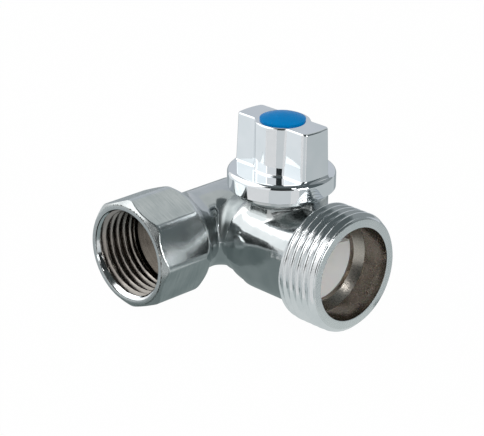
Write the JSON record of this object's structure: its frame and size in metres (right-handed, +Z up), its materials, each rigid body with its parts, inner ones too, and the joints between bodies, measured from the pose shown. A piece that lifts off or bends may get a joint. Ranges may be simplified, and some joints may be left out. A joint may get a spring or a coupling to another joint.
{
  "type": "washing machine ball valve",
  "caption": "Angled quarter-turn ball valve with a female threaded inlet, a male hose outlet and a skirted bar knob with a coloured cap.",
  "frame": {"origin": "on the inlet socket's axis, where its full thread starts behind the bevelled mouth", "axes": "-Y out of the inlet socket, +X out of the outlet, +Z up along the stem and knob"},
  "size_m": [0.0529, 0.0419, 0.0435],
  "materials": {
    "chromed_brass": "bright chrome over forged brass",
    "chromed_zinc": "mirror chrome",
    "blue_plastic": "glossy",
    "white_plastic": "satin",
    "seat_plastic": "waxy",
    "nickelled_brass": "turned",
    "bare_brass": "turned",
    "black_rubber": "matte",
    "steel": "zinc plated"
  },
  "bodies": {
    "housing": {"valve_body": "chromed_brass", "seat_retainer": "white_plastic", "outlet_seat": "seat_plastic", "inlet_seat": "seat_plastic", "stem_washer_lower": "seat_plastic", "stem_washer_upper": "seat_plastic", "bonnet": "bare_brass", "bonnet_o_ring": "black_rubber"},
    "turning_set": {"knob": "chromed_zinc", "index_cap": "blue_plastic", "knob_screw": "steel", "knob_washer": "steel", "stem": "bare_brass", "ball": "nickelled_brass", "stem_o_ring_lower": "black_rubber", "stem_o_ring_upper": "black_rubber"}
  },
  "joints": [
    {"name": "knob_turn", "type": "hinge", "parent": "housing", "child": "turning_set", "pos_m": [0.0182, 0.0277, 0], "axis": [0, 0, 1], "range_deg": [0, 90]}
  ]
}
